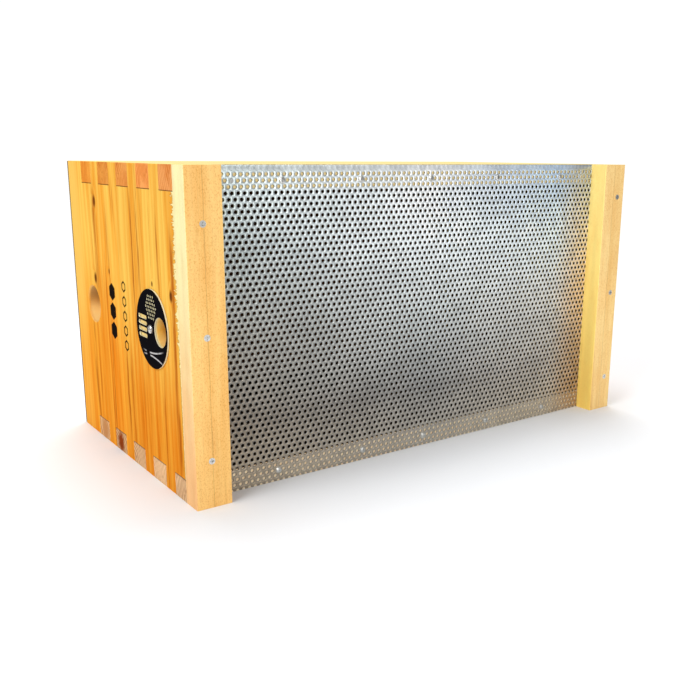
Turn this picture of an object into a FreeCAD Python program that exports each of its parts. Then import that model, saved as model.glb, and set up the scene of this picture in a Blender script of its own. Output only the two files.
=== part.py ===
import FreeCAD, Part
import math
import os

# Narrow hive box lying on one long side, with its perforated floor facing -Y, its open top facing +Y
# and the entrance end facing -X. All lengths are in millimetres. Every piece is drawn in working
# coordinates (X from the entrance end, Y from the floor plane, Z from the ground) and then shifted so
# that the origin is the centre of the resting face.

# ---- driving dimensions: the box
BOX_LENGTH = 505.0
BOX_WIDTH = 270.0
BOX_DEPTH = 260.0
BOARD = 20.0

# thin loose cover over the open top; the boards stop just short of it
COVER_THICKNESS = 3.0
COVER_GAP = 0.3
COVER_INSET = 0.4
BOARD_DEPTH = BOX_DEPTH - COVER_THICKNESS - COVER_GAP

# finger joints: the tongues on the side boards, counted from the floor edge
TONGUE_COUNT = 5
TONGUE_PITCH = 47.5
TONGUE_WIDTH = 28.0
UPPER_TONGUE_START = -1.0
LOWER_TONGUE_START = -6.0

# ledge cut in the end boards for the frame lugs
LEDGE_REACH = 10.0
LEDGE_DROP = 18.0

# round finger hold, blind
HOLD_RADIUS = 17.5
HOLD_DEPTH = 13.0
HOLD_Y = 204.5
HOLD_Z = 135.0
RIM_CHAMFER = 0.8

# ---- driving dimensions: floor
SHEET_THICKNESS = 0.8
SHEET_END_GAP = 22.0
SHEET_EDGE_INSET = 0.3
BATTEN_WIDTH = 31.0
BATTEN_THICKNESS = 20.2
BATTEN_ROUND = 0.8

# perforation lattice that the sheet screws follow
HOLE_PITCH = 5.6
ROW_STEP = HOLE_PITCH * math.sqrt(3.0) / 2.0
TOP_ROW_Z = 262.4
EVEN_ROW_X = 45.6
SCREW_HOLE_RADIUS = 1.5
UPPER_SCREW_ROW = 1
LOWER_SCREW_ROW = 52
UPPER_SCREW_X = [92.5, 172.0, 249.0, 332.0, 423.0]
LOWER_SCREW_X = [85.0, 173.0, 246.0, 329.0, 418.0]
TACK_X = [("left", 48.0), ("right", 458.0)]

# ---- driving dimensions: fasteners
PAN_HEAD_RADIUS = 2.9
PAN_HEAD_HEIGHT = 2.0
PAN_SHANK_RADIUS = 1.45
PAN_SHANK_LENGTH = 14.0
TACK_HEAD_RADIUS = 1.9
TACK_HEAD_HEIGHT = 0.6
TACK_SHANK_RADIUS = 0.8
TACK_LENGTH = 13.0
TACK_POINT = 2.0
TACK_HEAD_TOP_RADIUS = 1.7
CSK_HEAD_RADIUS = 2.7
CSK_SHANK_RADIUS = 1.5
CSK_LENGTH = 38.0
LEFT_SCREW_X = 14.2
LEFT_SCREW_Z = [226.9, 139.8, 39.5]
RIGHT_SCREW_X = BOX_LENGTH - 9.8
RIGHT_SCREW_Z = [236.0, 132.3, 36.5]
CSK_RIM = 0.3
RECESS_WIDTH = 0.7
RECESS_DEPTH = 1.1
RECESS_STAND = 0.02
PAN_RECESS_SHARE = 1.05
CSK_RECESS_SHARE = 1.2

# a screw's point: its blunt end as a share of the shank's radius, and the length of its taper
POINT_SHARE = 0.35
TAPER_SHARE = 1.4

# a pan head's outline above its seat: shares of the head's radius and height
PAN_OUTLINE = [(1.0, 0.45), (0.84, 0.78), (0.50, 0.96), (0.0, 1.0)]

# how far a cutting tool runs past the surface that it cuts
OVERCUT = 1.0

# ---- driving dimensions: entrance
ENTRANCE_Y = 35.2
ENTRANCE_Z = 136.0
ENTRANCE_RADIUS = 12.0
DISC_RADIUS = 33.5
DISC_THICKNESS = 1.2
DISC_GAP = 0.3
DISC_OFFSET = 18.3
DISC_WINDOW_RADIUS = 12.4
DISC_BORE_RADIUS = 2.05
SLOT_COUNT = 4
SLOT_PITCH = 5.3
SLOT_WIDTH = 3.5
SLOT_START = 10.3
SLOT_LENGTH = 18.0
VENT_RADIUS = 1.0
VENT_PITCH = 3.5
VENT_ROW_COUNTS = [4, 5, 6, 7, 6, 5, 4]
PIVOT_SHANK_RADIUS = 2.0
PIVOT_HEAD_RADIUS = 3.6
PIVOT_HEAD_HEIGHT = 2.4
PIVOT_LENGTH = 14.0

SHIFT = FreeCAD.Vector(-BOX_LENGTH / 2.0, -BOX_DEPTH / 2.0, 0.0)

FLOOR_OUT = FreeCAD.Vector(0.0, -1.0, 0.0)
ENTRANCE_OUT = FreeCAD.Vector(-1.0, 0.0, 0.0)


def block(x0, x1, y0, y1, z0, z1):
    """A rectangular block between two corners."""
    return Part.makeBox(x1 - x0, y1 - y0, z1 - z0, FreeCAD.Vector(x0, y0, z0))


def rod(radius, length, base, direction):
    """A cylinder standing on base and running along direction."""
    return Part.makeCylinder(radius, length, base, direction)


def turned(profile, base, direction):
    """A solid of revolution: profile is a list of (radius, height) pairs, stood on base along direction."""
    points = [FreeCAD.Vector(r, 0.0, h) for r, h in profile]
    points.append(points[0])
    face = Part.Face(Part.Wire(Part.makePolygon(points)))
    solid = face.revolve(FreeCAD.Vector(0, 0, 0), FreeCAD.Vector(0, 0, 1), 360.0)
    turn = FreeCAD.Rotation(FreeCAD.Vector(0, 0, 1), direction)
    solid.Placement = FreeCAD.Placement(base, turn)
    return solid


def write(shape, node):
    """Move a finished piece into the shared frame and write it."""
    placed = shape.copy()
    placed.translate(SHIFT)
    solids = placed.Solids
    if len(solids) != 1:
        raise SystemExit(node + " has " + str(len(solids)) + " solids")
    if not placed.isValid():
        raise SystemExit(node + " is not a valid solid")
    solids[0].exportStep("parts/" + node + ".step")


def tongue_spans(start):
    """Where the side board's tongues begin and end across the joint."""
    spans = []
    for k in range(TONGUE_COUNT):
        low = max(0.0, start + k * TONGUE_PITCH)
        high = start + k * TONGUE_PITCH + TONGUE_WIDTH
        spans.append((low, high))
    return spans


def lattice_x(row, wanted):
    """The hole centre of a lattice row nearest to a wanted X."""
    first = EVEN_ROW_X + (HOLE_PITCH / 2.0 if row % 2 else 0.0)
    return first + HOLE_PITCH * round((wanted - first) / HOLE_PITCH)


def lattice_z(row):
    """The height of a lattice row, counted down from the top row."""
    return TOP_ROW_Z - ROW_STEP * row


def cross_recess(base, direction, span):
    """The cross-shaped driver recess of a screw head, cut down from base against direction."""
    if abs(direction.y) > 0.5:
        in_face = (FreeCAD.Vector(1, 0, 0), FreeCAD.Vector(0, 0, 1))
    else:
        in_face = (FreeCAD.Vector(0, 1, 0), FreeCAD.Vector(0, 0, 1))
    arms = []
    for along, wide in (in_face, in_face[::-1]):
        reach = along * (span / 2.0) + wide * (RECESS_WIDTH / 2.0)
        low = base - reach - direction * RECESS_DEPTH
        high = base + reach + direction * (RECESS_DEPTH / 2.0)
        arms.append(block(min(low.x, high.x), max(low.x, high.x),
                          min(low.y, high.y), max(low.y, high.y),
                          min(low.z, high.z), max(low.z, high.z)))
    return arms[0].fuse(arms[1]).removeSplitter()


def pointed_shank(radius, length, top):
    """The outline of a screw's shank from its point up to a height below or above the seat."""
    outline = [(0.0, -length), (radius * POINT_SHARE, -length)]
    return outline + [(radius, -length + radius * TAPER_SHARE), (radius, top)]


def pan_screw(seat, direction, shank_radius, shank_length, head_radius, head_height):
    """A pan-head screw: seat is the middle of the head's underside, direction points out of the head."""
    profile = pointed_shank(shank_radius, shank_length, 0.0) + [(head_radius, 0.0)]
    profile += [(head_radius * wide, head_height * tall) for wide, tall in PAN_OUTLINE]
    screw = turned(profile, seat, direction)
    top = seat + direction * (head_height + RECESS_STAND)
    return screw.cut(cross_recess(top, direction, head_radius * PAN_RECESS_SHARE))


def pilot_hole(seat, direction, shank_radius, shank_length):
    """The pilot that a pan screw's shank fills below its seat."""
    profile = pointed_shank(shank_radius, shank_length, OVERCUT) + [(0.0, OVERCUT)]
    return turned(profile, seat, direction)


def countersunk_outline(top):
    """The outline of a countersunk screw, with its head's rim carried up to top."""
    neck = CSK_HEAD_RADIUS - CSK_SHANK_RADIUS + CSK_RIM
    outline = pointed_shank(CSK_SHANK_RADIUS, CSK_LENGTH, -neck)
    return outline + [(CSK_HEAD_RADIUS, -CSK_RIM), (CSK_HEAD_RADIUS, top), (0.0, top)]


def countersunk_screw(face_point, direction):
    """A countersunk wood screw whose head lies flush with the surface at face_point."""
    screw = turned(countersunk_outline(0.0), face_point, direction)
    return screw.cut(cross_recess(face_point, direction, CSK_HEAD_RADIUS * CSK_RECESS_SHARE))


def countersunk_hole(face_point, direction):
    """The seat and pilot that a countersunk screw fills."""
    return turned(countersunk_outline(OVERCUT), face_point, direction)


def tack(seat, direction):
    """A flat-headed tack: seat is the middle of the head's underside."""
    profile = [(0.0, -TACK_LENGTH), (TACK_SHANK_RADIUS, -TACK_LENGTH + TACK_POINT), (TACK_SHANK_RADIUS, 0.0)]
    profile += [(TACK_HEAD_RADIUS, 0.0), (TACK_HEAD_TOP_RADIUS, TACK_HEAD_HEIGHT), (0.0, TACK_HEAD_HEIGHT)]
    return turned(profile, seat, direction)


def tack_pilot(seat, direction):
    """The hole that a tack's shank fills below its seat."""
    profile = [(0.0, -TACK_LENGTH), (TACK_SHANK_RADIUS, -TACK_LENGTH + TACK_POINT)]
    profile += [(TACK_SHANK_RADIUS, OVERCUT), (0.0, OVERCUT)]
    return turned(profile, seat, direction)


def sheet_screw_places():
    """Names and XZ places of the screws that hold the floor sheet to the two side boards."""
    places = []
    for number, wanted in enumerate(UPPER_SCREW_X, 1):
        x = lattice_x(UPPER_SCREW_ROW, wanted)
        places.append(("upper_sheet_screw_" + str(number), x, lattice_z(UPPER_SCREW_ROW), "upper"))
    for number, wanted in enumerate(LOWER_SCREW_X, 1):
        x = lattice_x(LOWER_SCREW_ROW, wanted)
        places.append(("lower_sheet_screw_" + str(number), x, lattice_z(LOWER_SCREW_ROW), "lower"))
    return places


def sheet_screw_hole(x, z):
    """The hole of the lattice that a screw or a tack passes through."""
    base = FreeCAD.Vector(x, OVERCUT, z)
    return rod(SCREW_HOLE_RADIUS, SHEET_THICKNESS + 2.0 * OVERCUT, base, FLOOR_OUT)


def batten_screw_places():
    """Names and places of the three screws through each batten."""
    places = []
    for side, x, heights in (("left", LEFT_SCREW_X, LEFT_SCREW_Z), ("right", RIGHT_SCREW_X, RIGHT_SCREW_Z)):
        for level, z in zip(("upper", "middle", "lower"), heights):
            point = FreeCAD.Vector(x, -BATTEN_THICKNESS, z)
            places.append((side + "_batten_" + level + "_screw", point, side))
    return places


def side_board(z0, start):
    """A long board with tongues at both ends."""
    board = block(BOARD, BOX_LENGTH - BOARD, 0.0, BOARD_DEPTH, z0, z0 + BOARD)
    for low, high in tongue_spans(start):
        board = board.fuse(block(0.0, BOARD, low, high, z0, z0 + BOARD))
        board = board.fuse(block(BOX_LENGTH - BOARD, BOX_LENGTH, low, high, z0, z0 + BOARD))
    return board.removeSplitter()


def end_board(x0, outer_x, outward):
    """An end board with notches for the tongues, the frame ledge and the finger hold."""
    board = block(x0, x0 + BOARD, 0.0, BOARD_DEPTH, 0.0, BOX_WIDTH)
    for z0, start in ((BOX_WIDTH - BOARD, UPPER_TONGUE_START), (0.0, LOWER_TONGUE_START)):
        for low, high in tongue_spans(start):
            board = board.cut(block(x0, x0 + BOARD, low, high, z0, z0 + BOARD))
    inner_x = outer_x - outward * BOARD
    ledge_x = inner_x + outward * LEDGE_REACH
    ledge = block(min(inner_x, ledge_x), max(inner_x, ledge_x), BOARD_DEPTH - LEDGE_DROP, BOARD_DEPTH,
                  BOARD, BOX_WIDTH - BOARD)
    board = board.cut(ledge)
    mouth = FreeCAD.Vector(outer_x, HOLD_Y, HOLD_Z)
    profile = [(0.0, -HOLD_DEPTH), (HOLD_RADIUS, -HOLD_DEPTH), (HOLD_RADIUS, -RIM_CHAMFER)]
    profile += [(HOLD_RADIUS + RIM_CHAMFER, 0.0), (HOLD_RADIUS + RIM_CHAMFER, OVERCUT), (0.0, OVERCUT)]
    return board.cut(turned(profile, mouth, FreeCAD.Vector(outward, 0.0, 0.0)))


def batten(x0, sheet_low, sheet_high):
    """A floor batten with its long edges eased and a rebate over the sheet's end."""
    bar = block(x0, x0 + BATTEN_WIDTH, -BATTEN_THICKNESS, 0.0, 0.0, BOX_WIDTH)
    front = [e for e in bar.Edges
             if abs(e.BoundBox.YMax + BATTEN_THICKNESS) < 1e-6 and e.BoundBox.ZLength > BATTEN_WIDTH]
    bar = bar.makeFillet(BATTEN_ROUND, front)
    rebate = block(sheet_low, sheet_high, -SHEET_THICKNESS, 0.0, 0.0, BOX_WIDTH)
    return bar.cut(rebate)


def disc_blank():
    """The round entrance disc: an open window, a group of slots, a group of vents and a closed quarter."""
    centre_y = ENTRANCE_Y + DISC_OFFSET
    base = FreeCAD.Vector(-DISC_GAP, centre_y, ENTRANCE_Z)
    disc = rod(DISC_RADIUS, DISC_THICKNESS, base, ENTRANCE_OUT)
    near = -DISC_GAP + OVERCUT
    far = -DISC_GAP - DISC_THICKNESS - OVERCUT
    pivot_place = FreeCAD.Vector(near, centre_y, ENTRANCE_Z)
    window_place = FreeCAD.Vector(near, ENTRANCE_Y, ENTRANCE_Z)
    holes = [rod(DISC_BORE_RADIUS, near - far, pivot_place, ENTRANCE_OUT)]
    holes.append(rod(DISC_WINDOW_RADIUS, near - far, window_place, ENTRANCE_OUT))
    for k in range(SLOT_COUNT):
        z = ENTRANCE_Z + (k - (SLOT_COUNT - 1) / 2.0) * SLOT_PITCH
        y0 = centre_y + SLOT_START + SLOT_WIDTH / 2.0
        y1 = centre_y + SLOT_START + SLOT_LENGTH - SLOT_WIDTH / 2.0
        slot = block(far, near, y0, y1, z - SLOT_WIDTH / 2.0, z + SLOT_WIDTH / 2.0)
        for y in (y0, y1):
            slot = slot.fuse(rod(SLOT_WIDTH / 2.0, near - far, FreeCAD.Vector(near, y, z), ENTRANCE_OUT))
        holes.append(slot.removeSplitter())
    for row, count in enumerate(VENT_ROW_COUNTS):
        rise = (row - (len(VENT_ROW_COUNTS) - 1) / 2.0) * VENT_PITCH * math.sqrt(3.0) / 2.0
        for k in range(count):
            y = centre_y + (k - (count - 1) / 2.0) * VENT_PITCH
            point = FreeCAD.Vector(near, y, ENTRANCE_Z + DISC_OFFSET + rise)
            holes.append(rod(VENT_RADIUS, near - far, point, ENTRANCE_OUT))
    for hole in holes:
        disc = disc.cut(hole)
    return disc


os.makedirs("parts", exist_ok=True)

# ---- the four boards
upper_side = side_board(BOX_WIDTH - BOARD, UPPER_TONGUE_START)
lower_side = side_board(0.0, LOWER_TONGUE_START)
entrance_end = end_board(0.0, 0.0, -1.0)
rear_end = end_board(BOX_LENGTH - BOARD, BOX_LENGTH, 1.0)

bore_start = FreeCAD.Vector(BOARD + OVERCUT, ENTRANCE_Y, ENTRANCE_Z)
entrance_end = entrance_end.cut(rod(ENTRANCE_RADIUS, BOARD + 2.0 * OVERCUT, bore_start, ENTRANCE_OUT))

# ---- the floor sheet
sheet_low = SHEET_END_GAP
sheet_high = BOX_LENGTH - SHEET_END_GAP
sheet = block(sheet_low, sheet_high, -SHEET_THICKNESS, 0.0, SHEET_EDGE_INSET, BOX_WIDTH - SHEET_EDGE_INSET)

# ---- sheet screws, through the sheet into the side boards
for name, x, z, side in sheet_screw_places():
    seat = FreeCAD.Vector(x, -SHEET_THICKNESS, z)
    screw = pan_screw(seat, FLOOR_OUT, PAN_SHANK_RADIUS, PAN_SHANK_LENGTH, PAN_HEAD_RADIUS, PAN_HEAD_HEIGHT)
    write(screw, name)
    pilot = pilot_hole(seat, FLOOR_OUT, PAN_SHANK_RADIUS, PAN_SHANK_LENGTH)
    if side == "upper":
        upper_side = upper_side.cut(pilot)
    else:
        lower_side = lower_side.cut(pilot)
    sheet = sheet.cut(sheet_screw_hole(x, z))

# ---- two tacks that hold the sheet's upper corners beside the battens
for side, wanted in TACK_X:
    seat = FreeCAD.Vector(lattice_x(UPPER_SCREW_ROW, wanted), -SHEET_THICKNESS, lattice_z(UPPER_SCREW_ROW))
    write(tack(seat, FLOOR_OUT), side + "_sheet_tack")
    upper_side = upper_side.cut(tack_pilot(seat, FLOOR_OUT))
    sheet = sheet.cut(sheet_screw_hole(seat.x, seat.z))

# ---- the battens and their screws
left_batten = batten(0.0, sheet_low, BATTEN_WIDTH)
right_batten = batten(BOX_LENGTH - BATTEN_WIDTH, BOX_LENGTH - BATTEN_WIDTH, sheet_high)
for name, point, side in batten_screw_places():
    write(countersunk_screw(point, FLOOR_OUT), name)
    seat = countersunk_hole(point, FLOOR_OUT)
    if side == "left":
        left_batten = left_batten.cut(seat)
        entrance_end = entrance_end.cut(seat)
    else:
        right_batten = right_batten.cut(seat)
        rear_end = rear_end.cut(seat)

# ---- the entrance disc and its pivot
pivot_seat = FreeCAD.Vector(-DISC_GAP * 2.0 - DISC_THICKNESS, ENTRANCE_Y + DISC_OFFSET, ENTRANCE_Z)
pivot_reach = PIVOT_LENGTH + DISC_GAP * 2.0 + DISC_THICKNESS
pivot = pan_screw(pivot_seat, ENTRANCE_OUT, PIVOT_SHANK_RADIUS, pivot_reach,
                  PIVOT_HEAD_RADIUS, PIVOT_HEAD_HEIGHT)
entrance_end = entrance_end.cut(pilot_hole(pivot_seat, ENTRANCE_OUT, PIVOT_SHANK_RADIUS, pivot_reach))
disc = disc_blank()

# ---- the thin loose cover
cover = block(COVER_INSET, BOX_LENGTH - COVER_INSET, BOX_DEPTH - COVER_THICKNESS, BOX_DEPTH,
              COVER_INSET, BOX_WIDTH - COVER_INSET)

write(entrance_end, "entrance_end_board")
write(rear_end, "rear_end_board")
write(upper_side, "upper_side_board")
write(lower_side, "lower_side_board")
write(sheet, "perforated_floor_sheet")
write(left_batten, "left_floor_batten")
write(right_batten, "right_floor_batten")
write(cover, "cover_board")
write(disc, "entrance_disc")
write(pivot, "disc_pivot_screw")
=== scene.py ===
"""Looks for a narrow finger-jointed hive box lying on its long side.

The boards, battens, disc and screws keep their designed shapes. The boards and battens are shown through
copies with eased edges, and the floor sheet through a piece with its full field of perforations. All lengths
are in metres.
"""

import math

import bmesh
import bpy
import numpy as np
from mathutils import Matrix, Vector


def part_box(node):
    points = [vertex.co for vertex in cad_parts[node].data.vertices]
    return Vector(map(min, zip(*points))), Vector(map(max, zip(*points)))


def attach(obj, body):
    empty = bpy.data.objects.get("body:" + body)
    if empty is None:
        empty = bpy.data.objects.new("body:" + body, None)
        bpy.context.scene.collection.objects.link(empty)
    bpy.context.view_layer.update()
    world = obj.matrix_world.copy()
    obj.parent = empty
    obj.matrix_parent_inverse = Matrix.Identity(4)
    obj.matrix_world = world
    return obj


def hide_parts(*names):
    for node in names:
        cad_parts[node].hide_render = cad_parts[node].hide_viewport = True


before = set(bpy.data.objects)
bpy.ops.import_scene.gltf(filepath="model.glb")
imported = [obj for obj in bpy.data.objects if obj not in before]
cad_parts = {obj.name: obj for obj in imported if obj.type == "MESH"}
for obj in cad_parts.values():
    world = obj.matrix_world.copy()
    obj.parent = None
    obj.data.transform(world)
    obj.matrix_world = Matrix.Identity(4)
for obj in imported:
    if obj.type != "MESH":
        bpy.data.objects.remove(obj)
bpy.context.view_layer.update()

# ---- places read from the frame
BOX_BODY = "hive_box"
END_LOW, END_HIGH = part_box("entrance_end_board")
SHEET_LOW, SHEET_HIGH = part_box("perforated_floor_sheet")
DISC_LOW, DISC_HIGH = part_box("entrance_disc")
LEFT_BATTEN_LOW, LEFT_BATTEN_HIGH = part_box("left_floor_batten")
RIGHT_BATTEN_LOW, RIGHT_BATTEN_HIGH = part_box("right_floor_batten")
END_FACE_X = END_LOW.x
FLOOR_PLANE_Y = END_LOW.y
RIM_Y = END_HIGH.y
DISC_CENTRE_Y = (DISC_LOW.y + DISC_HIGH.y) / 2
DISC_CENTRE_Z = (DISC_LOW.z + DISC_HIGH.z) / 2
DISC_RADIUS = (DISC_HIGH.z - DISC_LOW.z) / 2

# ---- perforations of the floor sheet: a triangular lattice of octagons that each have a round hole's area
PITCH = 0.0056
ROW_STEP = PITCH * math.sqrt(3) / 2
HOLE_RADIUS = 0.0015
HOLE_SIDES = 8
HOLE_CORNER = HOLE_RADIUS * math.sqrt(2 * math.pi / (HOLE_SIDES * math.sin(2 * math.pi / HOLE_SIDES)))
TOP_ROW_Z = 0.2624
EVEN_ROW_X = END_FACE_X + 0.0456
FULL_ROWS = 54
BELLY = 0.0005

# ---- the end boards' knots, as place across, height and radius
ENTRANCE_KNOTS = (
    (0.0547, 0.2343, 0.0034),
    (0.0648, 0.1614, 0.0032),
    (0.0248, 0.1724, 0.0016),
    (-0.0786, 0.1739, 0.0014),
    (-0.1174, 0.1688, 0.0030),
)
REAR_KNOTS = (
    (-0.0420, 0.2010, 0.0032),
    (0.0280, 0.0760, 0.0028),
    (0.0930, 0.1880, 0.0020),
)

# ---- the end boards' resin streaks, as place across, half width, lowest and highest point, and strength
RESIN_STREAKS = (
    (-0.0377, 0.0034, 0.115, 0.235, 0.95),
    (-0.0500, 0.0026, 0.175, 0.232, 0.90),
    (-0.0930, 0.0030, 0.165, 0.225, 0.85),
    (-0.1215, 0.0060, 0.020, 0.215, 0.90),
    (-0.0090, 0.0034, 0.030, 0.105, 0.95),
    (-0.0200, 0.0060, 0.020, 0.098, 0.60),
    (0.0311, 0.0036, 0.015, 0.100, 0.80),
    (0.0250, 0.0060, 0.150, 0.225, 0.50),
    (0.0590, 0.0085, 0.145, 0.240, 0.55),
    (0.0800, 0.0052, 0.020, 0.112, 0.85),
    (0.0670, 0.0040, 0.015, 0.075, 0.60),
)

# ---- boards: thickness, the eased edges' widths, and the finger hold's centre in Y and Z and half width
BOARD = 0.020
BOARD_EASE = 0.00025
BATTEN_EASE = 0.0004
HOLD_CENTRE = (0.0745, 0.135)
HOLD_HALF = 0.0180

# ---- honeycomb mark: where its two rows stand across the board, and its cells' half widths
FULL_CELLS_Y = 0.0205
OPEN_CELLS_Y = -0.0105
FULL_CELL = 0.0072
OPEN_CELL = 0.0046

# ---- wood colours, with the painted light and shade on the boards
OILED_EARLY = (0.93, 0.57, 0.105)
OILED_LATE = (0.82, 0.30, 0.022)
OILED_GOLD = (0.92, 0.55, 0.115)
LOWER_TINT = (0.90, 0.60, 0.28)
KNOT_BROWN = (0.10, 0.024, 0.008)
RESIN_BROWN = (0.42, 0.10, 0.008)
# the finger hold's painted light and painted shade
HOLD_PAINTED_LIGHT = (0.96, 0.62, 0.22)
HOLD_PAINTED_SHADE = (0.26, 0.085, 0.014)
# painted light under the disc, drawn as pale unoiled pine
PAINTED_LIGHT_PINE = (0.93, 0.78, 0.36)
TORN_PINE = (0.88, 0.76, 0.36)
TORN_SHADE = (0.20, 0.07, 0.015)
# painted shade along the rim edge
RIM_EDGE_SHADE = (0.22, 0.095, 0.04)
END_BOARD_ENDS = (0.80, 0.60, 0.26)
BURNT = (0.012, 0.008, 0.006)
# painted shade on the boards' inner faces
INSIDE_SHADE = (0.050, 0.022, 0.010)
GLUE_BROWN = (0.30, 0.14, 0.045)
BATTEN_ENDS = (0.80, 0.62, 0.30)
HARDBOARD_DARK = (0.080, 0.033, 0.015)
HARDBOARD_PALE = (0.120, 0.052, 0.024)

# ---- metal and enamel colours, with the painted highlight and shade on the sheet
# the hole lips: burnish and painted highlight
LIP_BURNISH_AND_HIGHLIGHT = (0.92, 0.94, 0.95)
# painted shade in the hole walls
HOLE_WALL_SHADE = (0.045, 0.040, 0.035)
ENAMEL_BLACK = (0.006, 0.0055, 0.007)
DUST_GREY = (0.30, 0.30, 0.34)
SCRATCH_GREY = (0.72, 0.70, 0.70)
DISC_EDGE = (0.74, 0.70, 0.50)
ZINC_STOPS = ((0.30, (0.34, 0.33, 0.30)), (0.55, (0.68, 0.68, 0.66)), (0.8, (0.86, 0.86, 0.84)))

# ---- the galvanised sheet's painted reflection from foot to top, at these shares of its height
SHEET_LEVELS = (0.03, 0.22, 0.50, 0.75, 0.96)
LEFT_REFLECTION_TONES = (
    (0.410, 0.340, 0.250),
    (0.200, 0.165, 0.125),
    (0.260, 0.250, 0.220),
    (0.290, 0.330, 0.325),
    (0.560, 0.640, 0.640),
)
MIDDLE_REFLECTION_TONES = (
    (0.400, 0.365, 0.310),
    (0.250, 0.245, 0.235),
    (0.545, 0.580, 0.575),
    (0.920, 0.970, 0.980),
    (0.950, 0.980, 1.000),
)
RIGHT_REFLECTION_TONES = (
    (0.440, 0.370, 0.270),
    (0.500, 0.460, 0.400),
    (0.740, 0.735, 0.700),
    (0.800, 0.930, 1.000),
    (0.450, 0.660, 0.920),
)

# ---- floor and light: each lamp's name, place, target, size and power
FLOOR_REACH = 0.95
FLOOR_TONE = (0.82, 0.83, 0.85)
BACKDROP = 1.05
SURROUNDINGS = 0.35
LAMPS = (
    ("key", (-1.42, -0.38, 1.45), (-0.25, 0.0, 0.13), 1.0, 21.5),
    ("front", (-0.3, -2.0, 0.45), (0.0, -0.13, 0.13), 1.2, 16.0),
    ("top", (0.3, 0.55, 1.9), (0.1, 0.1, 0.0), 1.4, 38.0),
)

# ---- camera
CAMERA_PLACE = Vector((-0.50335, -0.73097, 0.27819))
CAMERA_YAW = math.radians(36.327)
CAMERA_PITCH = math.radians(13.284)
CAMERA_ROLL = math.radians(0.491)
CAMERA_LENS = 42.815
CAMERA_SHIFT = (-0.0385, 0.0018)


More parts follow.
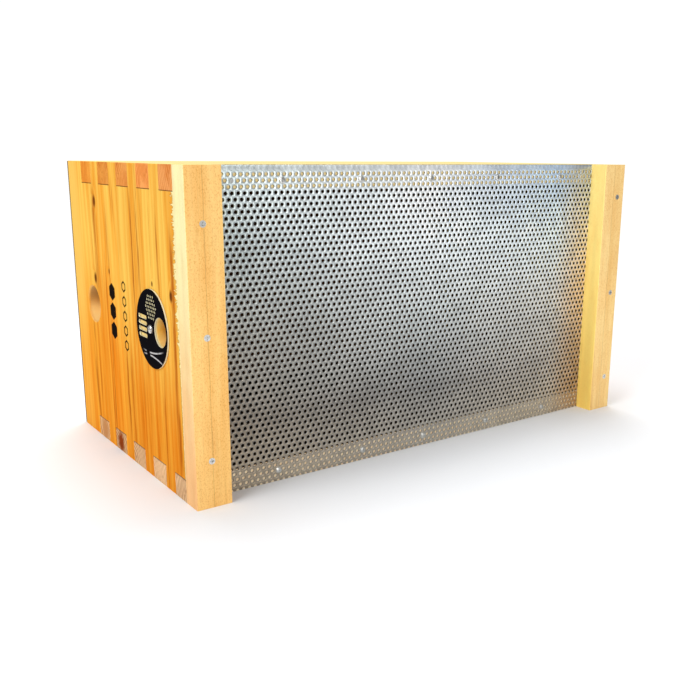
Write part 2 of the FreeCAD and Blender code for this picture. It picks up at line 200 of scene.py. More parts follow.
class Graph:
    """A material's node tree with short calls for the nodes that the finishes use."""

    def __init__(self, name):
        self.material = bpy.data.materials.new(name)
        self.material.use_nodes = True
        self.nodes = self.material.node_tree.nodes
        self.links = self.material.node_tree.links
        self.shader = self.nodes["Principled BSDF"]
        self.place = self.nodes.new("ShaderNodeTexCoord").outputs["Object"]
        self.x, self.y, self.z = self.split(self.place)

    def put(self, socket, value):
        """Link an output to a socket, or set a plain value on it."""
        if isinstance(value, bpy.types.NodeSocket):
            self.links.new(value, socket)
        elif value is not None:
            socket.default_value = value

    def split(self, vector):
        """The three parts of a vector."""
        node = self.nodes.new("ShaderNodeSeparateXYZ")
        self.put(node.inputs[0], vector)
        return node.outputs

    def join(self, x, y, z):
        """A vector from three values."""
        node = self.nodes.new("ShaderNodeCombineXYZ")
        for socket, value in zip(node.inputs, (x, y, z)):
            self.put(socket, value)
        return node.outputs[0]

    def calc(self, operation, a, b=None):
        """One Math node."""
        node = self.nodes.new("ShaderNodeMath")
        node.operation = operation
        for socket, value in zip(node.inputs, (a, b)):
            self.put(socket, value)
        return node.outputs[0]

    def plus(self, a, b):
        """a and b added."""
        return self.calc("ADD", a, b)

    def minus(self, a, b):
        """a less b."""
        return self.calc("SUBTRACT", a, b)

    def times(self, a, b):
        """a multiplied by b."""
        return self.calc("MULTIPLY", a, b)

    def over(self, a, b):
        """a divided by b."""
        return self.calc("DIVIDE", a, b)

    def off(self, value, centre):
        """How far a value is from a centre."""
        return self.calc("ABSOLUTE", self.minus(value, centre))

    def reach(self, a, b):
        """How far the point (a, b) is from zero."""
        return self.calc("SQRT", self.plus(self.times(a, a), self.times(b, b)))

    def largest(self, values):
        """The largest of several values."""
        result = values[0]
        for value in values[1:]:
            result = self.calc("MAXIMUM", result, value)
        return result

    def stretched(self, *parts):
        """A vector whose parts are values, each times its own frequency; None stands for no part."""
        return self.join(*(0.0 if part is None else self.times(*part) for part in parts))

    def fade(self, value, low, high, to_low=0.0, to_high=1.0):
        """A smooth step of value: to_low at low and to_high at high."""
        node = self.nodes.new("ShaderNodeMapRange")
        node.interpolation_type = "SMOOTHSTEP"
        for socket, given in zip(node.inputs, (value, low, high, to_low, to_high)):
            self.put(socket, given)
        return node.outputs[0]

    def noise(self, vector, scale=1.0, detail=2.0, rough=0.5):
        """Perlin noise, about 0.5 on average."""
        node = self.nodes.new("ShaderNodeTexNoise")
        self.put(node.inputs["Vector"], vector)
        node.inputs["Scale"].default_value = scale
        node.inputs["Detail"].default_value = detail
        node.inputs["Roughness"].default_value = rough
        return node.outputs["Fac"]

    def chance(self, value):
        """White noise of one value: the same number gives the same chance."""
        node = self.nodes.new("ShaderNodeTexWhiteNoise")
        node.noise_dimensions = "1D"
        self.put(node.inputs["W"], value)
        return node.outputs["Value"]

    def cells(self, vector, scale):
        """Voronoi cells: each cell's own random value."""
        node = self.nodes.new("ShaderNodeTexVoronoi")
        self.put(node.inputs["Vector"], vector)
        node.inputs["Scale"].default_value = scale
        return self.split(node.outputs["Color"])[0]

    def mix(self, amount, first, second, blend="MIX"):
        """A colour between first and second."""
        node = self.nodes.new("ShaderNodeMix")
        node.data_type = "RGBA"
        node.blend_type = blend
        node.clamp_factor = True
        self.put(node.inputs["Factor"], amount)
        for socket, colour in ((node.inputs[6], first), (node.inputs[7], second)):
            self.put(socket, (*colour, 1.0) if isinstance(colour, tuple) else colour)
        return node.outputs[2]

    def tinted(self, colour, tint):
        """A colour multiplied by another."""
        return self.mix(1.0, colour, tint, "MULTIPLY")

    def scaled(self, colour, value):
        """A colour multiplied by a value."""
        return self.tinted(colour, self.join(value, value, value))

    def ramp(self, value, stops):
        """A colour ramp; stops are (position, colour)."""
        node = self.nodes.new("ShaderNodeValToRGB")
        self.put(node.inputs[0], value)
        elements = node.color_ramp.elements
        while len(elements) < len(stops):
            elements.new(0.5)
        for element, (position, colour) in zip(elements, stops):
            element.position = position
            element.color = (*colour, 1.0)
        return node.outputs["Color"]

    def bump(self, height, distance, strength):
        """A bumped normal from a height between 0 and 1 that stands distance metres tall."""
        node = self.nodes.new("ShaderNodeBump")
        node.inputs["Strength"].default_value = strength
        node.inputs["Distance"].default_value = distance
        self.put(node.inputs["Height"], height)
        return node.outputs[0]

    def facing(self, axis):
        """How squarely the surface faces along an axis, from 0 to 1."""
        node = self.nodes.new("ShaderNodeNewGeometry")
        parts = self.split(node.outputs["True Normal"])
        return self.calc("ABSOLUTE", parts[axis])

    def finish(self, colour, roughness, normal=None, metallic=0.0, specular=0.5):
        """Wire the Principled shader and return the material."""
        self.put(self.shader.inputs["Base Color"], (*colour, 1.0) if isinstance(colour, tuple) else colour)
        self.put(self.shader.inputs["Roughness"], roughness)
        self.put(self.shader.inputs["Normal"], normal)
        self.put(self.shader.inputs["Metallic"], metallic)
        self.shader.inputs["Specular IOR Level"].default_value = specular
        return self.material


def darker(colour, shares):
    """A colour with each of its parts cut to a share."""
    return tuple(part * share for part, share in zip(colour, shares))


def knot_distance(g, across, along, knot):
    """How far a point is from a knot, in knot radii; knots are half again as long along the grain."""
    centre_across, centre_along, radius = knot
    wide = g.over(g.minus(across, centre_across), radius)
    tall = g.over(g.minus(along, centre_along), radius * 1.5)
    return g.reach(wide, tall)


def solid_wood(g, along, across, deep, early, late, *, ring, stave, pith, figure, streaks, seed, spread=0.1,
               knots=()):
    """Wood right through the piece: rings are shells about a pith line that runs along the grain.

    The distance to the pith, warped by slow noise and lifted round each knot, is counted in ring widths. Its
    fraction goes from pale early wood to dark late wood, with strength figure. Each stave has its own pith,
    and a tone that differs by up to spread. Slow bands, fibre noise and resin streaks are all stretched along
    the grain. Returns the colour and a height.
    """
    number = g.calc("FLOOR", g.over(g.plus(across, 7.0 + seed), stave))
    luck = g.chance(number)
    other_luck = g.chance(g.plus(number, 0.37))
    flow = g.stretched((across, 14.0), (deep, 14.0), (along, 3.2))
    drift = g.times(g.minus(g.noise(flow, 1.0, 3.0), 0.5), 0.030)
    side = g.plus(across, g.times(g.minus(luck, 0.5), stave * 2.5))
    below = g.plus(deep, g.times(other_luck, pith))
    radius = g.reach(g.plus(side, drift), g.plus(below, pith))
    distances = [knot_distance(g, across, along, knot) for knot in knots]
    if knots:
        lift = g.largest([g.fade(far, 3.2, 0.6) for far in distances])
        radius = g.plus(radius, g.times(lift, 0.008))
    turn = g.calc("FRACT", g.over(radius, ring))
    late_part = g.times(g.fade(turn, 0.10, 0.80), g.fade(turn, 1.0, 0.86))
    slow_place = g.stretched((across, 62.0), (deep, 40.0), (along, 3.0))
    bands = g.fade(g.noise(slow_place, 1.0, 3.0, 0.55), 0.40, 0.60)
    mixed = g.plus(g.times(late_part, figure), g.times(bands, 0.75 * (1.0 - figure)))
    colour = g.mix(mixed, early, late)
    fibre = g.noise(g.stretched((across, 900.0), (deep, 900.0), (along, 26.0)), 1.0, 3.0, 0.6)
    streak_place = g.stretched((across, 240.0), (deep, 240.0), (along, 11.0))
    where = g.fade(g.noise(slow_place, 0.8, 1.0), 0.44, 0.60)
    streak = g.times(g.fade(g.noise(streak_place, 1.0, 3.0, 0.5), 0.52, 0.72), where)
    colour = g.mix(g.times(streak, streaks), colour, darker(late, (0.66, 0.48, 0.35)))
    tone = g.fade(luck, 0.0, 1.0, 1.0 - spread, 1.0 + spread)
    tone = g.times(tone, g.fade(fibre, 0.3, 0.7, 0.95, 1.04))
    colour = g.scaled(colour, tone)
    if knots:
        cores = g.largest([g.fade(far, 1.5, 0.5) for far in distances])
        colour = g.mix(g.times(cores, 0.95), colour, KNOT_BROWN)
    height = g.plus(g.times(fibre, 0.6), g.times(g.minus(1.0, turn), 0.4))
    return colour, height


def inside(g, deep):
    """How much a point belongs to a board's inner face, which gets painted shade."""
    return g.fade(g.calc("ABSOLUTE", deep), BOARD - 0.0010, BOARD - 0.0002, 0.0, 0.93)


def hexagon(g, centre_y, centre_z, half_width):
    """1 inside a hexagon that stands on a corner, with a softly scorched edge.

    Its sides lie where the larger of two measures is its half width: the distance across, and half of that
    plus 0.866 of the distance up.
    """
    wide = g.off(g.y, centre_y)
    tall = g.off(g.z, centre_z)
    slant = g.plus(g.times(wide, 0.5), g.times(tall, 0.866))
    return g.fade(g.largest([wide, slant]), half_width + 0.0003, half_width - 0.0002)


def burnt_cells(g):
    """A generic honeycomb mark: an upright row of three burnt cells, and one of five small open ones."""
    cells = []
    for step in (-1, 0, 1):
        cells.append(hexagon(g, FULL_CELLS_Y, DISC_CENTRE_Z + step * FULL_CELL * 2.5, FULL_CELL))
    for step in (-2, -1, 0, 1, 2):
        centre_z = DISC_CENTRE_Z + step * OPEN_CELL * 2.9
        outer = hexagon(g, OPEN_CELLS_Y, centre_z, OPEN_CELL)
        inner = hexagon(g, OPEN_CELLS_Y, centre_z, OPEN_CELL - 0.0016)
        cells.append(g.minus(outer, inner))
    return g.largest(cells)


def resin_streaks(g, colour, mirrored):
    """Dark upright streaks that wander, thin out at their sides and ends, and are broken by noise."""
    broken = g.fade(g.noise(g.stretched((g.y, 300.0), None, (g.z, 14.0)), 1.0, 3.0), 0.36, 0.54)
    for across, width, low_z, high_z, strength in RESIN_STREAKS:
        centre_y = -0.9 * across if mirrored else across
        wander = g.times(g.minus(g.noise(g.join(centre_y, 0.0, g.z), 22.0), 0.5), 0.006)
        off_line = g.off(g.plus(g.y, wander), centre_y)
        above_foot = g.fade(g.z, low_z - 0.02, low_z + 0.02)
        below_top = g.fade(g.z, high_z + 0.02, high_z - 0.02)
        line = g.times(g.times(g.fade(off_line, width, 0.0), g.times(above_foot, below_top)), broken)
        colour = g.mix(g.times(line, strength), colour, RESIN_BROWN)
    return colour


def finger_hold(g, deep, colour):
    """The hollow of the finger hold, with painted light at its foot and painted shade under its top."""
    hold_y, hold_z = HOLD_CENTRE
    sunk = g.fade(g.calc("ABSOLUTE", deep), 0.0008, 0.0030)
    within_y = g.fade(g.off(g.y, hold_y), HOLD_HALF + 0.0015, HOLD_HALF)
    within_z = g.fade(g.off(g.z, hold_z), HOLD_HALF + 0.0015, HOLD_HALF)
    hollow = g.times(g.times(sunk, within_y), within_z)
    # painted shade under the top of the hollow and painted light at its foot
    tone = g.mix(g.fade(g.z, hold_z - 0.012, hold_z + 0.012), HOLD_PAINTED_LIGHT, HOLD_PAINTED_SHADE)
    return g.mix(g.times(hollow, 0.85), colour, tone)


def under_disc(g, deep):
    """How much a point of the outer face is covered by the disc."""
    from_pivot = g.reach(g.minus(g.y, DISC_CENTRE_Y), g.minus(g.z, DISC_CENTRE_Z))
    on_face = g.fade(g.calc("ABSOLUTE", deep), 0.0012, 0.0004)
    return g.times(g.fade(from_pivot, DISC_RADIUS - 0.001, DISC_RADIUS - 0.003), on_face)


def torn_floor_edge(g, colour):
    """Pale chips torn out along the floor edge, longer in its upper part, with a thin shade beside them."""
    torn = g.noise(g.stretched((g.y, 90.0), None, (g.z, 330.0)), 1.0, 3.0, 0.75)
    longest = g.fade(g.z, 0.10, 0.15, 0.003, 0.026)
    chips = g.times(g.largest([g.minus(torn, 0.44), 0.0]), longest)
    past_chips = g.minus(g.minus(g.y, FLOOR_PLANE_Y + 0.0006), chips)
    pale = g.fade(past_chips, 0.0003, -0.0003)
    shade = g.minus(g.fade(past_chips, 0.0016, 0.0004), pale)
    colour = g.mix(g.times(shade, 0.55), colour, TORN_SHADE)
    return g.mix(pale, colour, TORN_PINE)


def end_board_wood(name, outer_x, at_entrance):
    """Glued-up pine panel with upright grain, oiled to a deep orange.

    It is golden at the top and along the rim, and deeper towards the ground. The floor edge is torn where it
    meets the batten, the rim edge has a thin painted shade, and the finger hold has painted light and shade.
    The entrance board has painted light under the disc, drawn as pale unoiled pine, and has the burnt
    honeycomb mark.
    """
    g = Graph(name)
    deep = g.minus(g.x, outer_x)
    knots, seed = (ENTRANCE_KNOTS, 0.011) if at_entrance else (REAR_KNOTS, 0.029)
    colour, height = solid_wood(g, g.z, g.y, deep, OILED_EARLY, OILED_LATE, ring=0.0085, stave=0.043,
                                pith=0.026, figure=0.30, streaks=0.85, seed=seed, spread=0.05, knots=knots)
    lower = g.fade(g.minus(g.z, g.times(g.y, 0.30)), 0.185, 0.070)
    colour = g.mix(g.times(lower, 0.9), colour, g.tinted(colour, LOWER_TINT))
    golden = g.times(g.fade(g.y, 0.088, 0.112), g.fade(g.z, 0.06, 0.16, 0.25, 0.85))
    colour = g.mix(golden, colour, OILED_GOLD)
    colour = resin_streaks(g, colour, not at_entrance)
    colour = finger_hold(g, deep, colour)
    if at_entrance:
        # painted light: the wood under the disc is drawn pale, as unoiled pine
        colour = g.mix(g.times(under_disc(g, deep), 0.75), colour, PAINTED_LIGHT_PINE)
    # painted shade on the board's inner face
    colour = g.mix(inside(g, deep), colour, INSIDE_SHADE)
    colour = torn_floor_edge(g, colour)
    # painted shade along the rim edge
    rim = g.fade(g.y, RIM_Y - 0.0016, RIM_Y - 0.0004)
    colour = g.mix(g.times(rim, 0.55), colour, RIM_EDGE_SHADE)
    colour = g.mix(g.times(g.facing(2), 0.6), colour, END_BOARD_ENDS)
    if at_entrance:
        on_face = g.fade(g.x, outer_x + 0.0012, outer_x + 0.0004)
        burnt = g.times(burnt_cells(g), on_face)
        colour = g.mix(burnt, colour, BURNT)
        height = g.minus(height, burnt)
    normal = g.bump(height, 0.00010, 0.45)
    return g.finish(colour, 0.6, normal, specular=0.0)


def side_board_wood(name, outer_z, early, late, outside, end_far, end_near, end_late, figure, seed, knots=()):
    """Pine plank with its grain along the box and a weathered outside; its tongue ends show end grain.

    The early wood of the tongue ends goes from end_far at the rim to end_near at the floor. Knots are given
    as place across, depth, size and tint, and show only in the tongues at the entrance.
    """
    g = Graph(name)
    deep = g.minus(g.z, outer_z)
    colour, height = solid_wood(g, g.x, g.y, deep, early, late, ring=0.0050, stave=0.0475, pith=0.016,
                                figure=0.35, streaks=0.4, seed=seed)
    colour = g.mix(g.times(g.facing(2), 0.5), colour, outside)
    end_early = g.mix(g.fade(g.y, 0.11, -0.12), end_far, end_near)
    end, _ = solid_wood(g, g.x, g.y, deep, end_early, end_late, ring=0.0034, stave=0.0475, pith=0.016,
                        figure=figure, streaks=0.4, seed=seed)
    near_entrance = g.fade(g.x, 0.0, END_FACE_X + 0.05)
    for centre_y, depth, size, tint in knots:
        far = knot_distance(g, g.y, deep, (centre_y, depth, size))
        patchy = g.plus(far, g.times(g.noise(g.place, 260.0, 3.0, 0.6), 1.1))
        end = g.mix(g.times(g.fade(patchy, 2.3, 1.1), near_entrance), end, tint)
    colour = g.mix(g.facing(0), colour, end)
    # painted shade on the board's inner face
    colour = g.mix(inside(g, deep), colour, INSIDE_SHADE)
    normal = g.bump(height, 0.00010, 0.45)
    return g.finish(colour, 0.6, normal, specular=0.0)


def batten_wood(name, low, high, front, side_top, side_foot, line):
    """Tan planed batten: cloudy, with fine open pores, mostly on its front, and one thin glue line up it.

    The planed flanks go from side_top to side_foot, and the sawn ends are duller.
    """
    g = Graph(name)
    deep = g.minus(g.y, low.y)
    front_late = darker(front, (0.90, 0.80, 0.66))
    face, height = solid_wood(g, g.z, g.x, deep, front, front_late, ring=0.0110, stave=0.062, pith=0.05,
                              figure=0.12, streaks=0.12, seed=high.x, spread=0.03)
    flank = g.mix(g.fade(g.over(g.z, high.z), 0.95, 0.05), side_top, side_foot)
    slow = g.noise(g.stretched((g.y, 150.0), None, (g.z, 5.0)), 1.0, 3.0)
    flank = g.scaled(flank, g.fade(slow, 0.3, 0.7, 0.95, 1.03))
    colour = g.mix(g.facing(0), face, flank)
    blotch = g.noise(g.stretched((g.x, 70.0), (g.y, 70.0), (g.z, 22.0)), 1.0, 4.0, 0.7)
    colour = g.mix(g.fade(blotch, 0.60, 0.36, 0.0, 0.5), colour, g.tinted(colour, (0.95, 0.84, 0.74)))
    pores = g.noise(g.stretched((g.x, 1100.0), (g.y, 1100.0), (g.z, 700.0)), 1.0, 2.0, 0.65)
    speck = g.times(g.fade(pores, 0.52, 0.30), g.fade(g.facing(1), 0.0, 1.0, 0.25, 1.0))
    colour = g.mix(g.times(speck, 0.80), colour, g.tinted(colour, (0.80, 0.64, 0.48)))
    wander = g.times(g.minus(g.noise(g.join(0.0, 0.0, g.z), 26.0), 0.5), 0.0022)
    off_line = g.off(g.plus(g.x, wander), line)
    glue = g.times(g.fade(off_line, 0.00055, 0.00010), g.facing(1))
    colour = g.mix(g.times(glue, 0.32), colour, GLUE_BROWN)
    colour = g.mix(g.times(g.facing(2), 0.4), colour, BATTEN_ENDS)
    normal = g.bump(g.plus(height, pores), 0.00008, 0.5)
    return g.finish(colour, 0.62, normal, specular=0.0)


def hardboard(name):
    """Dark brown pressed board: matt, with a fine fibre mottle and broad faint clouds."""
    g = Graph(name)
    mottle = g.noise(g.place, 420.0, 4.0, 0.65)
    colour = g.mix(g.fade(mottle, 0.3, 0.7), HARDBOARD_DARK, HARDBOARD_PALE)
    colour = g.scaled(colour, g.fade(g.noise(g.place, 7.0, 4.0, 0.6), 0.30, 0.70, 0.80, 1.20))
    normal = g.bump(mottle, 0.00008, 0.5)
    return g.finish(colour, 0.7, normal, specular=0.0)


def grid_distance(g, start_x, start_z):
    """How far a point is from the nearest crossing of a grid one pitch wide and two rows tall."""
    wide = g.calc("PINGPONG", g.minus(g.x, start_x), PITCH / 2)
    tall = g.calc("PINGPONG", g.minus(g.z, start_z), ROW_STEP)
    return g.reach(wide, tall)


def galvanised(name):
    """Dull zinc sheet: faint spangle, smears and specks, a lip round every hole that is burnished and
    lightened as painted highlight, and painted shade on the hole walls.

    The lip is the distance to the nearest lattice point. The lattice is two rectangular grids, one shifted by
    half a pitch and one row, so the nearer of the two distances is taken. The colour is a painted reflection,
    mixed from those of the left end, the middle and the right end, with a painted warm reflection of the
    right batten beside it.
    """
    g = Graph(name)
    even_rows = grid_distance(g, EVEN_ROW_X, TOP_ROW_Z)
    odd_rows = grid_distance(g, EVEN_ROW_X + PITCH / 2, TOP_ROW_Z + ROW_STEP)
    off_hole = g.calc("MINIMUM", even_rows, odd_rows)
    lip = g.fade(off_hole, HOLE_RADIUS + 0.0006, HOLE_RADIUS + 0.0001)
    spangle = g.cells(g.place, 150.0)
    smear = g.noise(g.join(g.times(g.x, 9.0), g.y, g.times(g.z, 16.0)), 1.0, 4.0, 0.6)
    speck = g.noise(g.place, 900.0, 2.0, 0.6)
    along = g.over(g.minus(g.x, SHEET_LOW.x), SHEET_HIGH.x - SHEET_LOW.x)
    up = g.over(g.z, SHEET_HIGH.z)
    # painted reflection: the sheet's colour from foot to top at the left end, the middle and the right end
    left_reflection = g.ramp(up, list(zip(SHEET_LEVELS, LEFT_REFLECTION_TONES)))
    middle_reflection = g.ramp(up, list(zip(SHEET_LEVELS, MIDDLE_REFLECTION_TONES)))
    right_reflection = g.ramp(up, list(zip(SHEET_LEVELS, RIGHT_REFLECTION_TONES)))
    halves = g.times(along, 2.0)
    first_half = g.calc("MINIMUM", halves, 1.0)
    second_half = g.largest([g.minus(halves, 1.0), 0.0])
    colour = g.mix(second_half, g.mix(first_half, left_reflection, middle_reflection), right_reflection)
    # painted warm reflection of the right batten
    colour = g.mix(g.fade(along, 0.86, 0.95), colour, g.tinted(colour, (1.0, 0.80, 0.64)))
    tone = g.plus(g.fade(spangle, 0.0, 1.0, 0.93, 1.07), g.fade(smear, 0.3, 0.7, -0.08, 0.10))
    tone = g.times(tone, g.fade(speck, 0.3, 0.7, 0.92, 1.08))
    colour = g.scaled(colour, tone)
    # the lip round every hole, lighter as burnish and painted highlight
    colour = g.mix(g.times(lip, 0.26), colour, LIP_BURNISH_AND_HIGHLIGHT)
    # painted shade on the hole walls
    colour = g.mix(g.fade(g.facing(1), 0.75, 0.45), colour, HOLE_WALL_SHADE)
    normal = g.bump(g.minus(1.0, lip), 0.00030, 0.7)
    roughness = g.plus(g.fade(spangle, 0.0, 1.0, 0.40, 0.48), g.fade(smear, 0.3, 0.7, 0.05, -0.04))
    return g.finish(colour, roughness, normal, metallic=0.75)


def black_disc(name):
    """Matt black enamel with a little dust, two pale curved scratches, and a pale cut edge.

    A scratch runs where the height is that of a shallow parabola below the pivot, given by its drop, its
    slope and its sag. It is broken by noise and dies out away from the middle.
    """
    g = Graph(name)
    dust = g.fade(g.noise(g.place, 500.0, 3.0, 0.7), 0.64, 0.78)
    colour = g.mix(g.times(dust, 0.03), ENAMEL_BLACK, DUST_GREY)
    away = g.minus(g.y, DISC_CENTRE_Y)
    worn_patch = g.times(g.fade(g.calc("ABSOLUTE", g.plus(away, 0.001)), 0.024, 0.012), 0.72)
    for drop, slope, sag in ((0.0205, -0.10, 5.0), (0.0235, 0.06, -4.0)):
        curve = g.times(g.times(away, away), sag)
        level = g.plus(g.plus(g.times(away, slope), curve), DISC_CENTRE_Z - drop)
        off_scratch = g.off(g.z, level)
        broken = g.fade(g.noise(g.join(drop * 100.0, g.times(g.y, 70.0), 0.0), 1.0, 2.0), 0.36, 0.50)
        scratch = g.times(g.times(g.fade(off_scratch, 0.0009, 0.0003), broken), worn_patch)
        colour = g.mix(scratch, colour, SCRATCH_GREY)
    colour = g.mix(g.fade(g.facing(0), 0.6, 0.4), colour, DISC_EDGE)
    roughness = g.fade(dust, 0.0, 1.0, 0.34, 0.6)
    normal = g.bump(g.noise(g.place, 260.0, 3.0), 0.00006, 0.5)
    return g.finish(colour, roughness, normal, specular=0.0)


def zinc(name):
    """Bright zinc plating with a little tarnish."""
    g = Graph(name)
    tarnish = g.noise(g.place, 600.0, 3.0, 0.6)
    colour = g.ramp(tarnish, ZINC_STOPS)
    normal = g.bump(tarnish, 0.00005, 0.4)
    return g.finish(colour, g.fade(tarnish, 0.3, 0.7, 0.42, 0.22), normal, metallic=0.95)


def dress(piece, material):
    """Give a piece its only material, the box's body and the slot of the record."""
    piece.data.materials.clear()
    piece.data.materials.append(material)
    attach(piece, BOX_BODY)


def refinish(node, material):
    """Give a CAD node, which keeps its shape, a better material."""
    for slot in node.material_slots:
        slot.material = material


def eased_copy(node, name, width):
    """A copy of a CAD node whose sharp edges are rounded over by width, as sandpaper leaves them."""
    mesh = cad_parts[node].data.copy()
    mesh.name = name
    work = bmesh.new()
    work.from_mesh(mesh)
    bmesh.ops.remove_doubles(work, verts=work.verts, dist=2e-6)
    bmesh.ops.dissolve_limit(work, angle_limit=math.radians(1.0), verts=work.verts, edges=work.edges)
    work.to_mesh(mesh)
    work.free()
    piece = bpy.data.objects.new(name, mesh)
    bpy.context.collection.objects.link(piece)
    ease = piece.modifiers.new("eased_edges", "BEVEL")
    ease.width = width
    ease.segments = 2
    ease.limit_method = "ANGLE"
    ease.angle_limit = math.radians(35)
    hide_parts(node)
    return piece


def panels(xs, zs):
    """Plain rectangles between neighbouring xs and neighbouring zs, each as two triangles."""
    x0, z0 = np.meshgrid(xs[:-1], zs[:-1], indexing="ij")
    x1, z1 = np.meshgrid(xs[1:], zs[1:], indexing="ij")
    corners = ((x0, z0), (x1, z0), (x1, z1), (x0, z1))
    a, b, c, d = (np.stack(corner, -1).reshape(-1, 2) for corner in corners)
    return np.concatenate([np.stack([a, b, c], 1), np.stack([a, c, d], 1)])


def repeated(cell, faces, centres_x, centre_z):
    """A cell's triangles, set down at each centre of a row."""
    places = np.stack([centres_x, np.full(len(centres_x), centre_z)], 1)
    return (cell[np.array(faces)][None] + places[:, None, None, :]).reshape(-1, 3, 2)


def sheet_triangles():
    """The sheet's outline and holes as flat triangles in X and Z, wound to face -Y.

    Each hole sits in a cell one pitch wide and one row tall. A cell has six outer points, its corners and the
    middles of its top and bottom, where the next row's corners meet it, and the hole's eight points, set so
    that the octagon has the area of the round hole. Margins are plain rectangles, and the sheet's lower edge
    cuts the last row.
    """
    half, rise = PITCH / 2, ROW_STEP / 2
    angle = np.arange(HOLE_SIDES) * 2 * math.pi / HOLE_SIDES
    ring = HOLE_CORNER * np.stack([np.cos(angle), np.sin(angle)], 1)
    outer = np.array([(-half, -rise), (0, -rise), (half, -rise), (half, rise), (0, rise), (-half, rise)])
    cell = np.concatenate([outer, ring])
    o, h = list(range(6)), list(range(6, 14))
    faces = [(o[0], o[1], h[6]), (o[0], h[6], h[5]), (o[1], o[2], h[7]), (o[1], h[7], h[6]),
             (o[2], h[0], h[7]), (o[2], o[3], h[0]), (o[3], h[1], h[0]), (o[3], o[4], h[2]),
             (o[3], h[2], h[1]), (o[4], o[5], h[3]), (o[4], h[3], h[2]), (o[5], h[4], h[3]),
             (o[5], o[0], h[4]), (o[0], h[5], h[4])]
    first = math.ceil((SHEET_LOW.x + half - EVEN_ROW_X) / PITCH)
    last = math.floor((SHEET_HIGH.x - half - EVEN_ROW_X) / PITCH)
    even_x = EVEN_ROW_X + PITCH * np.arange(first, last + 1)
    odd_x = even_x[:-1] + half
    parts = []
    for row in range(FULL_ROWS):
        parts.append(repeated(cell, faces, odd_x if row % 2 else even_x, TOP_ROW_Z - ROW_STEP * row))

    nodes_x = even_x[0] - half + half * np.arange(2 * len(even_x) + 1)
    lines_z = TOP_ROW_Z + rise - ROW_STEP * np.arange(FULL_ROWS, -1, -1)
    parts.append(panels(np.concatenate([[SHEET_LOW.x], nodes_x, [SHEET_HIGH.x]]),
                        np.array([lines_z[-1], SHEET_HIGH.z])))
    for side in ([SHEET_LOW.x, nodes_x[0]], [nodes_x[-1], SHEET_HIGH.x]):
        parts.append(panels(np.array(side), np.concatenate([[SHEET_LOW.z], lines_z])))
    for row in range(1, FULL_ROWS, 2):
        span = lines_z[FULL_ROWS - row - 1:FULL_ROWS - row + 1]
        parts.append(panels(nodes_x[:2], span))
        parts.append(panels(nodes_x[-2:], span))

    cut_z = TOP_ROW_Z - ROW_STEP * FULL_ROWS
    foot = SHEET_LOW.z - cut_z
    share = foot / ring[7, 1]
    mouth = ring[0, 0] + share * (ring[7, 0] - ring[0, 0])
    notch = np.concatenate([[(-half, foot), (half, foot), (half, rise), (0, rise), (-half, rise)], ring[:5],
                            [(mouth, foot), (-mouth, foot)]])
    notch_faces = [(10, 1, 5), (1, 2, 5), (2, 6, 5), (2, 3, 7), (2, 7, 6), (3, 4, 8), (3, 8, 7), (4, 9, 8),
                   (4, 0, 9), (0, 11, 9)]
    parts.append(repeated(notch, notch_faces, even_x, cut_z))
    return np.concatenate(parts)


def sheet_belly(x, z):
    """How far the thin sheet stands off its plane: slow sine hills that die out at the battens and boards."""
    under_batten, on_board, slope = 0.012, 0.004, 0.05
    from_left = np.clip((x - SHEET_LOW.x - under_batten) / slope, 0, 1)
    from_right = np.clip((SHEET_HIGH.x - under_batten - x) / slope, 0, 1)
    from_foot = np.clip((z - on_board) / slope, 0, 1)
    from_top = np.clip((SHEET_HIGH.z - on_board - z) / slope, 0, 1)
    hills = 0.5 + 0.25 * np.sin(x * 41 + 1.1 + 9 * z) + 0.25 * np.sin(z * 37 - 17 * x + 0.4)
    return -BELLY * hills * (from_left * from_right) * (from_foot * from_top)


def perforated_sheet():
    """The floor sheet, whole.

    The flat triangles make its front and, turned over, its back. Every edge that only one triangle has is an
    edge of the sheet or of a hole, and gets a wall from front to back.
    """
    triangles = sheet_triangles()
    flat = np.round(triangles.reshape(-1, 2), 8)
    points, index = np.unique(flat, axis=0, return_inverse=True)
    index = index.reshape(-1, 3)
    count = len(points)
    starts = index.ravel()
    ends = index[:, [1, 2, 0]].ravel()
    open_edges = ~np.isin(starts * count + ends, ends * count + starts)
    a, b = starts[open_edges], ends[open_edges]
    belly = sheet_belly(points[:, 0], points[:, 1])
    front = np.stack([points[:, 0], SHEET_LOW.y + belly, points[:, 1]], 1)
    back = np.stack([points[:, 0], SHEET_HIGH.y + belly, points[:, 1]], 1)
    walls = np.concatenate([np.stack([b, a, a + count], 1), np.stack([b, a + count, b + count], 1)])
    faces = np.concatenate([index, index[:, ::-1] + count, walls])
    mesh = bpy.data.meshes.new("floor_sheet")
    mesh.vertices.add(2 * count)
    mesh.vertices.foreach_set("co", np.concatenate([front, back]).astype(np.float32).ravel())
    mesh.loops.add(faces.size)
    mesh.loops.foreach_set("vertex_index", faces.astype(np.int32).ravel())
    mesh.polygons.add(len(faces))
    mesh.polygons.foreach_set("loop_start", np.arange(0, faces.size, 3, dtype=np.int32))
    mesh.update(calc_edges=True)
    mesh.validate()
    piece = bpy.data.objects.new("floor_sheet", mesh)
    bpy.context.collection.objects.link(piece)
    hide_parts("perforated_floor_sheet")
    return piece


def stage():
    """A wide pale floor."""
    corners = [(-FLOOR_REACH, -FLOOR_REACH, 0), (FLOOR_REACH, -FLOOR_REACH, 0),
               (FLOOR_REACH, FLOOR_REACH, 0), (-FLOOR_REACH, FLOOR_REACH, 0)]
    mesh = bpy.data.meshes.new("studio_floor")
    mesh.from_pydata(corners, [], [(0, 1, 2, 3)])
    floor = bpy.data.objects.new("studio_floor", mesh)
    bpy.context.collection.objects.link(floor)
    g = Graph("studio_white")
    floor.data.materials.append(g.finish(FLOOR_TONE, 0.9, specular=0.0))


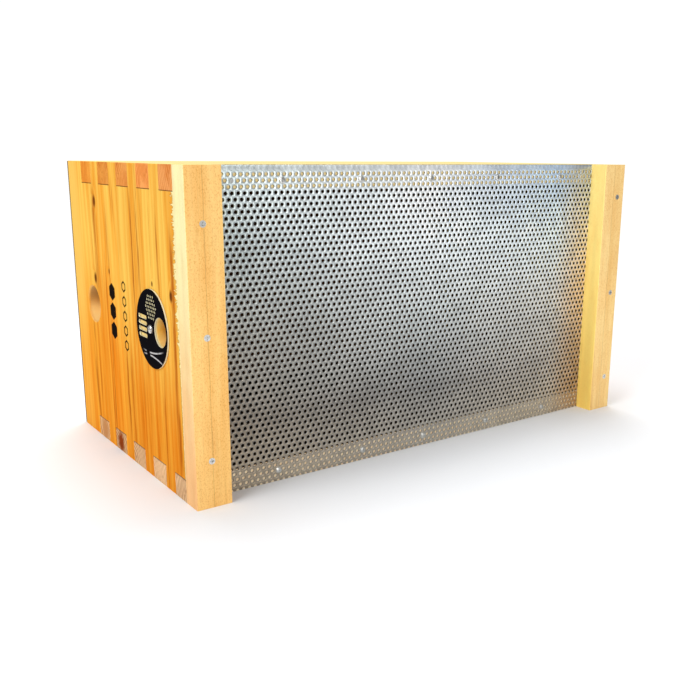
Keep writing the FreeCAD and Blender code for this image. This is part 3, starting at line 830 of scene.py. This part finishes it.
def area_light(name, place, target, size, power):
    """A square soft light at place, turned to target."""
    data = bpy.data.lights.new(name, "AREA")
    data.size = size
    data.energy = power
    lamp = bpy.data.objects.new(name, data)
    lamp.location = place
    lamp.rotation_euler = (Vector(target) - Vector(place)).to_track_quat("-Z", "Y").to_euler()
    bpy.context.collection.objects.link(lamp)


def lighting():
    """A white backdrop, softer white surroundings and three soft lamps.

    The backdrop that the camera sees is pure white, and every other ray meets the softer surroundings. The
    key stands at the upper left, the front lamp is low before the sheet, and the top lamp is behind the box.
    """
    world = bpy.data.worlds.new("studio")
    world.use_nodes = True
    nodes, links = world.node_tree.nodes, world.node_tree.links
    surroundings = nodes["Background"]
    backdrop = nodes.new("ShaderNodeBackground")
    for background, strength in ((surroundings, SURROUNDINGS), (backdrop, BACKDROP)):
        background.inputs["Color"].default_value = (1.0, 1.0, 1.0, 1.0)
        background.inputs["Strength"].default_value = strength
    path = nodes.new("ShaderNodeLightPath")
    blend = nodes.new("ShaderNodeMixShader")
    links.new(path.outputs["Is Camera Ray"], blend.inputs[0])
    links.new(surroundings.outputs[0], blend.inputs[1])
    links.new(backdrop.outputs[0], blend.inputs[2])
    links.new(blend.outputs[0], nodes["World Output"].inputs["Surface"])
    bpy.context.scene.world = world
    for name, place, target, size, power in LAMPS:
        area_light(name, place, target, size, power)
    bpy.context.scene.view_settings.view_transform = "Standard"
    bpy.context.scene.view_settings.look = "None"


def camera():
    """The camera: yaw from +Y towards +X, pitch down, then a small roll about the view line."""
    sin_yaw, cos_yaw = math.sin(CAMERA_YAW), math.cos(CAMERA_YAW)
    sin_pitch, cos_pitch = math.sin(CAMERA_PITCH), math.cos(CAMERA_PITCH)
    forward = Vector((sin_yaw * cos_pitch, cos_yaw * cos_pitch, -sin_pitch))
    right = Vector((cos_yaw, -sin_yaw, 0))
    up = right.cross(forward)
    sin_roll, cos_roll = math.sin(CAMERA_ROLL), math.cos(CAMERA_ROLL)
    rolled_right = cos_roll * right + sin_roll * up
    rolled_up = cos_roll * up - sin_roll * right
    data = bpy.data.cameras.new("camera")
    data.lens = CAMERA_LENS
    data.sensor_width = 36.0
    data.shift_x, data.shift_y = CAMERA_SHIFT
    data.clip_start, data.clip_end = 0.02, 50.0
    eye = bpy.data.objects.new("camera", data)
    turn = Matrix((rolled_right, rolled_up, -forward)).transposed()
    eye.matrix_world = Matrix.Translation(CAMERA_PLACE) @ turn.to_4x4()
    bpy.context.collection.objects.link(eye)
    bpy.context.scene.camera = eye


camera()
lighting()
stage()

# ---- boards and battens
entrance_wood = end_board_wood("entrance_board_wood", END_LOW.x, True)
rear_wood = end_board_wood("rear_board_wood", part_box("rear_end_board")[1].x, False)
upper_wood = side_board_wood(
    "side_board_wood",
    outer_z=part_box("upper_side_board")[1].z,
    early=(0.95, 0.76, 0.38),
    late=(0.86, 0.60, 0.24),
    outside=(0.34, 0.34, 0.14),
    end_far=(0.88, 0.38, 0.050),
    end_near=(0.92, 0.41, 0.135),
    end_late=(0.66, 0.17, 0.022),
    figure=0.50,
    seed=0.020,
)
lower_wood = side_board_wood(
    "lower_board_wood",
    outer_z=0.0,
    early=(1.0, 0.86, 0.62),
    late=(0.96, 0.72, 0.44),
    outside=(0.78, 0.60, 0.30),
    end_far=(0.80, 0.50, 0.25),
    end_near=(0.98, 0.70, 0.41),
    end_late=(0.44, 0.20, 0.08),
    figure=0.85,
    seed=0.033,
    knots=((0.0215, 0.009, 0.0060, (0.26, 0.050, 0.010)), (0.066, 0.010, 0.0065, (0.55, 0.26, 0.10))),
)
left_wood = batten_wood(
    "left_batten_wood",
    LEFT_BATTEN_LOW,
    LEFT_BATTEN_HIGH,
    front=(0.92, 0.59, 0.215),
    side_top=(0.90, 0.84, 0.45),
    side_foot=(0.90, 0.54, 0.25),
    line=END_FACE_X + 0.0150,
)
right_wood = batten_wood(
    "right_batten_wood",
    RIGHT_BATTEN_LOW,
    RIGHT_BATTEN_HIGH,
    front=(0.96, 0.69, 0.30),
    side_top=(1.0, 0.78, 0.27),
    side_foot=(1.0, 0.72, 0.185),
    line=RIGHT_BATTEN_HIGH.x - 0.0165,
)

for node, name, width, wood, slot in (
    ("entrance_end_board", "entrance_end", BOARD_EASE, entrance_wood, "entrance_board_wood"),
    ("rear_end_board", "rear_end", BOARD_EASE, rear_wood, "rear_board_wood"),
    ("upper_side_board", "upper_side", BOARD_EASE, upper_wood, "side_board_wood"),
    ("lower_side_board", "lower_side", BOARD_EASE, lower_wood, "lower_board_wood"),
    ("left_floor_batten", "left_batten", BATTEN_EASE, left_wood, "left_batten_wood"),
    ("right_floor_batten", "right_batten", BATTEN_EASE, right_wood, "right_batten_wood"),
):
    dress(eased_copy(node, name, width), wood)
refinish(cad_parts["cover_board"], hardboard("cover_hardboard"))

# ---- metal
dress(perforated_sheet(), galvanised("galvanised_sheet"))
screw_metal = zinc("zinc_screw")
for node_name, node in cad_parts.items():
    if node_name.endswith(("screw", "tack")) or "_screw_" in node_name:
        refinish(node, screw_metal)
refinish(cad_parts["entrance_disc"], black_disc("disc_black"))
